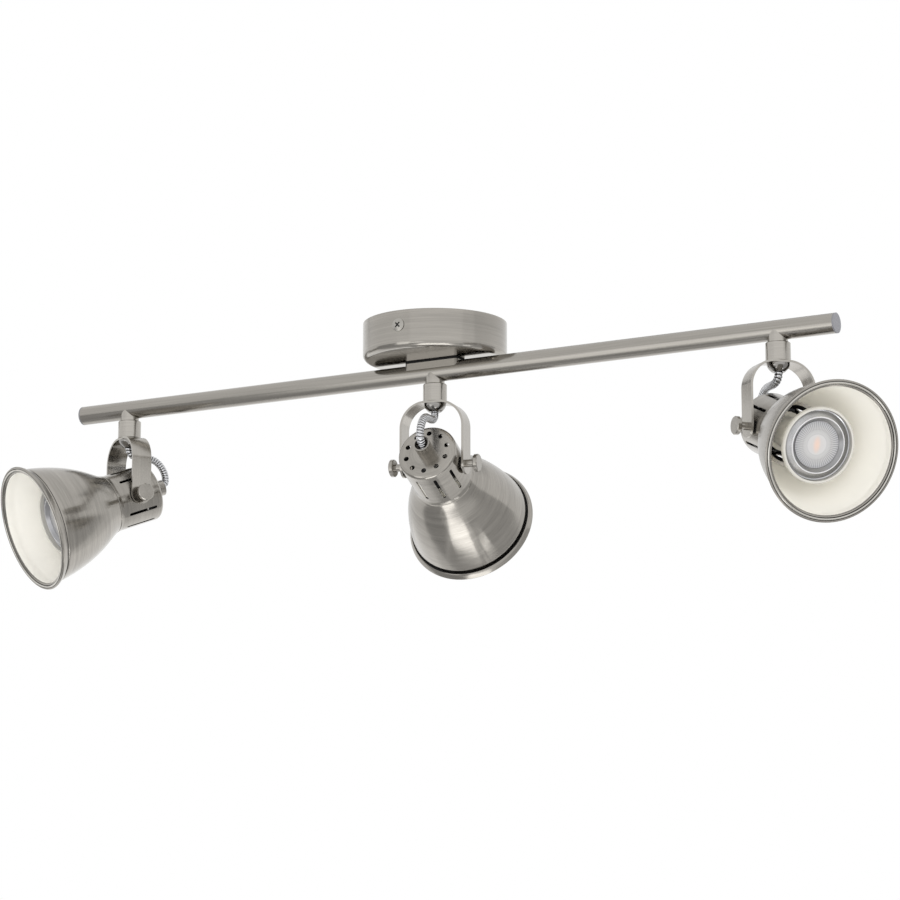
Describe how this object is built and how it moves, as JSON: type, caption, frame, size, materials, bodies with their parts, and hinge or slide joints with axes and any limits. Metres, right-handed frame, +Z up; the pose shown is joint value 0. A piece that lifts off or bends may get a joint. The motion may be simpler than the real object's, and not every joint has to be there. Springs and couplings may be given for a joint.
{
  "type": "track lighting fixture",
  "caption": "Straight tube bar below a round ceiling canopy, carrying bell-shaped spot heads that swivel on hollow stems and tilt in strip yokes, with reflector lamps and coiled conduits.",
  "frame": {"origin": "centre of the ceiling face, on top of the ceiling bracket", "axes": "+X along the bar, +Z up into the ceiling; the room is at -Z"},
  "size_m": [0.6832, 0.1827, 0.1706],
  "materials": {
    "satin_nickel": "satin nickel, brushed round the turned parts and along the canopy",
    "polished_steel": "polished nickel",
    "zinc_steel": "bright zinc",
    "brass": "turned, bare",
    "plug_grey": "flat satin grey",
    "terminal_plastic": "ivory, moulded",
    "lead_sheath": "smooth wire sheath",
    "washer_plastic": "black",
    "gasket_rubber": "black, matt",
    "ceramic": "unglazed steatite",
    "lamp_housing": "cream, slight gloss",
    "lamp_reflector": "satin metallised",
    "lamp_lens": "frosted, ribbed at its edge",
    "conduit_steel": "bright coiled wire"
  },
  "bodies": {
    "root": {"canopy": "satin_nickel", "ceiling_bracket": "zinc_steel", "canopy_screws": "polished_steel", "bar_saddle": "satin_nickel", "saddle_gasket": "gasket_rubber", "hollow_bolts": "brass", "bolt_nuts": "brass", "bar_tube": "satin_nickel", "end_plugs": "plug_grey", "stem_stubs": "satin_nickel", "stem_nipples": "brass", "terminal_block": "terminal_plastic", "bar_leads": "lead_sheath"},
    "left_yoke": {"left_swivel_collar": "satin_nickel", "left_yoke": "satin_nickel", "left_cup_nut": "polished_steel", "left_flex_conduit": "conduit_steel"},
    "left_head": {"left_pivot_washers": "washer_plastic", "left_rear_cap": "satin_nickel", "left_cable_tube": "satin_nickel", "left_shade": "satin_nickel", "left_lampholder": "ceramic", "left_holder_bracket": "zinc_steel"},
    "left_lamp": {"left_lamp_body": "lamp_housing", "left_lamp_bezel": "lamp_reflector", "left_lamp_lens": "lamp_lens"},
    "left_knob_a": {"left_thumb_screw_a": "satin_nickel"},
    "left_knob_b": {"left_thumb_screw_b": "satin_nickel"},
    "middle_yoke": {"middle_swivel_collar": "satin_nickel", "middle_yoke": "satin_nickel", "middle_cup_nut": "polished_steel", "middle_flex_conduit": "conduit_steel"},
    "middle_head": {"middle_pivot_washers": "washer_plastic", "middle_rear_cap": "satin_nickel", "middle_cable_tube": "satin_nickel", "middle_shade": "satin_nickel", "middle_lampholder": "ceramic", "middle_holder_bracket": "zinc_steel"},
    "middle_lamp": {"middle_lamp_body": "lamp_housing", "middle_lamp_bezel": "lamp_reflector", "middle_lamp_lens": "lamp_lens"},
    "middle_knob_a": {"middle_thumb_screw_a": "satin_nickel"},
    "middle_knob_b": {"middle_thumb_screw_b": "satin_nickel"},
    "right_yoke": {"right_swivel_collar": "satin_nickel", "right_yoke": "satin_nickel", "right_cup_nut": "polished_steel", "right_flex_conduit": "conduit_steel"},
    "right_head": {"right_pivot_washers": "washer_plastic", "right_rear_cap": "satin_nickel", "right_cable_tube": "satin_nickel", "right_shade": "satin_nickel", "right_lampholder": "ceramic", "right_holder_bracket": "zinc_steel"},
    "right_lamp": {"right_lamp_body": "lamp_housing", "right_lamp_bezel": "lamp_reflector", "right_lamp_lens": "lamp_lens"},
    "right_knob_a": {"right_thumb_screw_a": "satin_nickel"},
    "right_knob_b": {"right_thumb_screw_b": "satin_nickel"}
  },
  "joints": [
    {"name": "left_swivel", "type": "hinge", "parent": "root", "child": "left_yoke", "pos_m": [-0.2583, 0, -0.05], "axis": [0, 0, 1], "range_deg": [-175, 175]},
    {"name": "left_tilt", "type": "hinge", "parent": "left_yoke", "child": "left_head", "pos_m": [-0.2583, 0, -0.0995], "axis": [0.8634, -0.5045, 0], "range_deg": [-21, 30], "deforming": ["left_flex_conduit"]},
    {"name": "left_lamp_turn", "type": "hinge", "parent": "left_head", "child": "left_lamp", "pos_m": [-0.2583, 0, -0.0995], "axis": [-0.471, -0.806, -0.3584], "range_deg": [0, 20]},
    {"name": "left_knob_a_turn", "type": "hinge", "parent": "left_head", "child": "left_knob_a", "pos_m": [-0.2583, 0, -0.0995], "axis": [0.8634, -0.5045, 0], "range_deg": [0, 360]},
    {"name": "left_knob_b_turn", "type": "hinge", "parent": "left_head", "child": "left_knob_b", "pos_m": [-0.2583, 0, -0.0995], "axis": [-0.8634, 0.5045, 0], "range_deg": [0, 360]},
    {"name": "middle_swivel", "type": "hinge", "parent": "root", "child": "middle_yoke", "pos_m": [0, 0, -0.05], "axis": [0, 0, 1], "range_deg": [-175, 175]},
    {"name": "middle_tilt", "type": "hinge", "parent": "middle_yoke", "child": "middle_head", "pos_m": [0, 0, -0.0995], "axis": [-0.9854, -0.1702, 0], "range_deg": [-21, 30], "deforming": ["middle_flex_conduit"]},
    {"name": "middle_lamp_turn", "type": "hinge", "parent": "middle_head", "child": "middle_lamp", "pos_m": [0, 0, -0.0995], "axis": [-0.1589, 0.92, -0.3584], "range_deg": [0, 20]},
    {"name": "middle_knob_a_turn", "type": "hinge", "parent": "middle_head", "child": "middle_knob_a", "pos_m": [0, 0, -0.0995], "axis": [-0.9854, -0.1702, 0], "range_deg": [0, 360]},
    {"name": "middle_knob_b_turn", "type": "hinge", "parent": "middle_head", "child": "middle_knob_b", "pos_m": [0, 0, -0.0995], "axis": [0.9854, 0.1702, 0], "range_deg": [0, 360]},
    {"name": "right_swivel", "type": "hinge", "parent": "root", "child": "right_yoke", "pos_m": [0.2583, 0, -0.05], "axis": [0, 0, 1], "range_deg": [-175, 175]},
    {"name": "right_tilt", "type": "hinge", "parent": "right_yoke", "child": "right_head", "pos_m": [0.2583, 0, -0.0995], "axis": [0.6481, 0.7615, 0], "range_deg": [-21, 30], "deforming": ["right_flex_conduit"]},
    {"name": "right_lamp_turn", "type": "hinge", "parent": "right_head", "child": "right_lamp", "pos_m": [0.2583, 0, -0.0995], "axis": [0.711, -0.6051, -0.3584], "range_deg": [0, 20]},
    {"name": "right_knob_a_turn", "type": "hinge", "parent": "right_head", "child": "right_knob_a", "pos_m": [0.2583, 0, -0.0995], "axis": [0.6481, 0.7615, 0], "range_deg": [0, 360]},
    {"name": "right_knob_b_turn", "type": "hinge", "parent": "right_head", "child": "right_knob_b", "pos_m": [0.2583, 0, -0.0995], "axis": [-0.6481, -0.7615, 0], "range_deg": [0, 360]}
  ]
}
